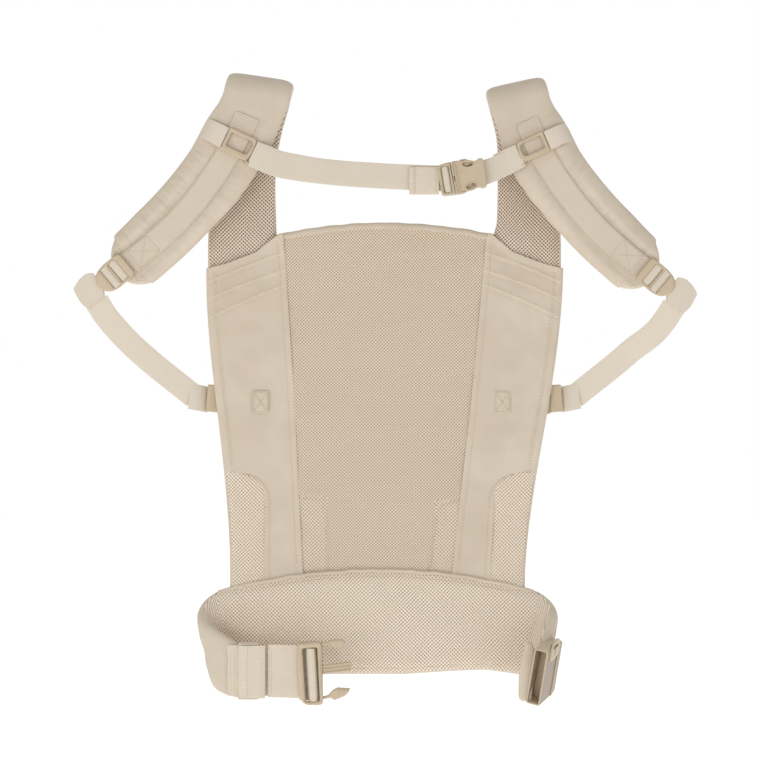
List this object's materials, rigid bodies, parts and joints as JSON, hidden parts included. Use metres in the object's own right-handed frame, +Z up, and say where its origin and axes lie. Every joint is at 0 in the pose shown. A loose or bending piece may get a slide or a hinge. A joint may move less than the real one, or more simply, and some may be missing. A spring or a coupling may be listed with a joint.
{
  "type": "soft baby carrier",
  "caption": "Soft baby carrier with an air-mesh panel, padded waist belt, folded shoulder straps, a chest strap and side-release buckles.",
  "frame": {"origin": "middle of the waist belt's wearer face, where the belt rests on the wearer's waist", "axes": "+Z up towards the shoulders, +X to the right as the wearer's face of the panel is seen, -Y towards the wearer"},
  "size_m": [0.62, 0.094, 0.633],
  "materials": {
    "cloth": "smooth cotton twill, beige",
    "mesh": "open spacer mesh, beige",
    "foam": "soft foam, off-white",
    "webbing": "ribbed woven webbing, beige",
    "plastic": "moulded acetal, beige, matt"
  },
  "bodies": {
    "panel": {"panel_cover": "cloth", "panel_foam": "foam", "centre_mesh": "mesh", "side_facing_left": "cloth", "side_facing_right": "cloth", "side_mesh_left": "mesh", "side_mesh_right": "mesh", "top_binding": "cloth", "sewn_patches": "cloth", "strap_base_mesh_left": "mesh", "strap_base_mesh_right": "mesh", "strap_base_pad_left": "cloth", "strap_base_pad_right": "cloth", "belt_cover": "cloth", "belt_foam": "foam", "belt_mesh": "mesh", "side_tab_left": "webbing", "side_tab_right": "webbing", "side_socket_left": "plastic", "side_socket_right": "plastic"},
    "left_strap": {"shoulder_fold_left": "cloth", "strap_cover_left": "cloth", "strap_foam_left": "foam", "strap_mesh_left": "mesh", "rail_webbing_left": "webbing", "side_webbing_left": "webbing"},
    "right_strap": {"shoulder_fold_right": "cloth", "strap_cover_right": "cloth", "strap_foam_right": "foam", "strap_mesh_right": "mesh", "rail_webbing_right": "webbing", "side_webbing_right": "webbing"},
    "left_lock": {"ladder_lock_left": "plastic"},
    "right_lock": {"ladder_lock_right": "plastic"},
    "left_side_plug": {"side_plug_left": "plastic", "side_loop_left": "webbing"},
    "right_side_plug": {"side_plug_right": "plastic", "side_loop_right": "webbing"},
    "left_slider": {"chest_slider_left": "plastic", "cross_band_left": "webbing", "chest_webbing_left": "webbing"},
    "right_slider": {"chest_slider_right": "plastic", "cross_band_right": "webbing", "chest_webbing_right": "webbing", "chest_socket": "plastic"},
    "chest_plug": {"chest_plug": "plastic", "chest_tail": "webbing"},
    "chest_upper_prong": {"chest_prong_upper": "plastic"},
    "chest_lower_prong": {"chest_prong_lower": "plastic"},
    "left_bend": {"belt_bend_left": "cloth"},
    "left_wing": {"belt_end_left": "cloth", "waist_webbing_left": "webbing", "webbing_keeper": "webbing"},
    "waist_plug": {"waist_plug": "plastic", "waist_tail": "webbing"},
    "waist_upper_prong": {"waist_prong_upper": "plastic"},
    "waist_lower_prong": {"waist_prong_lower": "plastic"},
    "right_bend": {"belt_bend_right": "cloth"},
    "right_wing": {"belt_end_right": "cloth", "waist_socket": "plastic"}
  },
  "joints": [
    {"name": "left_strap_swing", "type": "hinge", "parent": "panel", "child": "left_strap", "pos_m": [0, -0.009, 0.521], "axis": [1, 0, 0], "range_deg": [-35, 0], "deforming": ["shoulder_fold_left", "side_webbing_left"]},
    {"name": "right_strap_swing", "type": "hinge", "parent": "panel", "child": "right_strap", "pos_m": [0, -0.009, 0.521], "axis": [1, 0, 0], "range_deg": [-35, 0], "deforming": ["shoulder_fold_right", "side_webbing_right"]},
    {"name": "left_lock_tilt", "type": "hinge", "parent": "left_strap", "child": "left_lock", "pos_m": [-0.25562, -0.0362, 0.35308], "axis": [-0.6428, 0, 0.766], "range_deg": [0, 15]},
    {"name": "right_lock_tilt", "type": "hinge", "parent": "right_strap", "child": "right_lock", "pos_m": [0.25562, -0.0362, 0.35308], "axis": [-0.6428, 0, -0.766], "range_deg": [0, 15]},
    {"name": "left_side_release", "type": "slide", "parent": "panel", "child": "left_side_plug", "axis": [-1, 0, 0], "range_m": [0, 0.02]},
    {"name": "right_side_release", "type": "slide", "parent": "panel", "child": "right_side_plug", "axis": [1, 0, 0], "range_m": [0, 0.02]},
    {"name": "left_slider_height", "type": "slide", "parent": "left_strap", "child": "left_slider", "axis": [-0.515, 0, -0.8572], "range_m": [0, 0.03]},
    {"name": "right_slider_height", "type": "slide", "parent": "right_strap", "child": "right_slider", "axis": [0.515, 0, -0.8572], "range_m": [0, 0.03]},
    {"name": "chest_release", "type": "slide", "parent": "right_slider", "child": "chest_plug", "axis": [-0.9799, 0, -0.1994], "range_m": [0, 0.03]},
    {"name": "chest_upper_squeeze", "type": "hinge", "parent": "chest_plug", "child": "chest_upper_prong", "pos_m": [0.06665, -0.042, 0.45431], "axis": [0, 1, 0], "range_deg": [0, 7], "stiffness_Nm_per_rad": 0.05},
    {"name": "chest_lower_squeeze", "type": "hinge", "parent": "chest_plug", "child": "chest_lower_prong", "pos_m": [0.07035, -0.042, 0.43609], "axis": [0, 1, 0], "range_deg": [-7, 0], "stiffness_Nm_per_rad": 0.05},
    {"name": "left_wing_wrap", "type": "hinge", "parent": "panel", "child": "left_bend", "pos_m": [-0.17701, 0.00335, 0.007], "axis": [0.225, 0, -0.9744], "range_deg": [0, 90], "deforming": ["belt_bend_left"]},
    {"name": "left_wing_unroll", "type": "hinge", "parent": "left_bend", "child": "left_wing", "pos_m": [-0.17701, -0.02335, 0.007], "axis": [0.225, 0, -0.9744], "range_deg": [0, 90]},
    {"name": "waist_adjust", "type": "slide", "parent": "left_wing", "child": "waist_plug", "axis": [1, 0, 0], "range_m": [-0.004, 0.025]},
    {"name": "waist_upper_squeeze", "type": "hinge", "parent": "waist_plug", "child": "waist_upper_prong", "pos_m": [-0.0625, -0.0412, -0.022], "axis": [0, 1, 0], "range_deg": [0, 7], "stiffness_Nm_per_rad": 0.1},
    {"name": "waist_lower_squeeze", "type": "hinge", "parent": "waist_plug", "child": "waist_lower_prong", "pos_m": [-0.0625, -0.0412, -0.073], "axis": [0, 1, 0], "range_deg": [-7, 0], "stiffness_Nm_per_rad": 0.1},
    {"name": "right_wing_wrap", "type": "hinge", "parent": "panel", "child": "right_bend", "pos_m": [0.15795, 0.00567, 0.00817], "axis": [0.225, 0, 0.9744], "range_deg": [0, 55], "deforming": ["belt_bend_right"]},
    {"name": "right_wing_unroll", "type": "hinge", "parent": "right_bend", "child": "right_wing", "pos_m": [0.16707, -0.00769, 0.00606], "axis": [0.225, 0, 0.9744], "range_deg": [0, 55]}
  ],
  "couplings": [
    {"joint": "right_strap_swing", "follows": "left_strap_swing", "ratio": 1},
    {"joint": "right_slider_height", "follows": "left_slider_height", "ratio": 1},
    {"joint": "chest_lower_squeeze", "follows": "chest_upper_squeeze", "ratio": -1},
    {"joint": "waist_lower_squeeze", "follows": "waist_upper_squeeze", "ratio": -1},
    {"joint": "left_wing_unroll", "follows": "left_wing_wrap", "ratio": 1},
    {"joint": "right_wing_unroll", "follows": "right_wing_wrap", "ratio": 1}
  ]
}
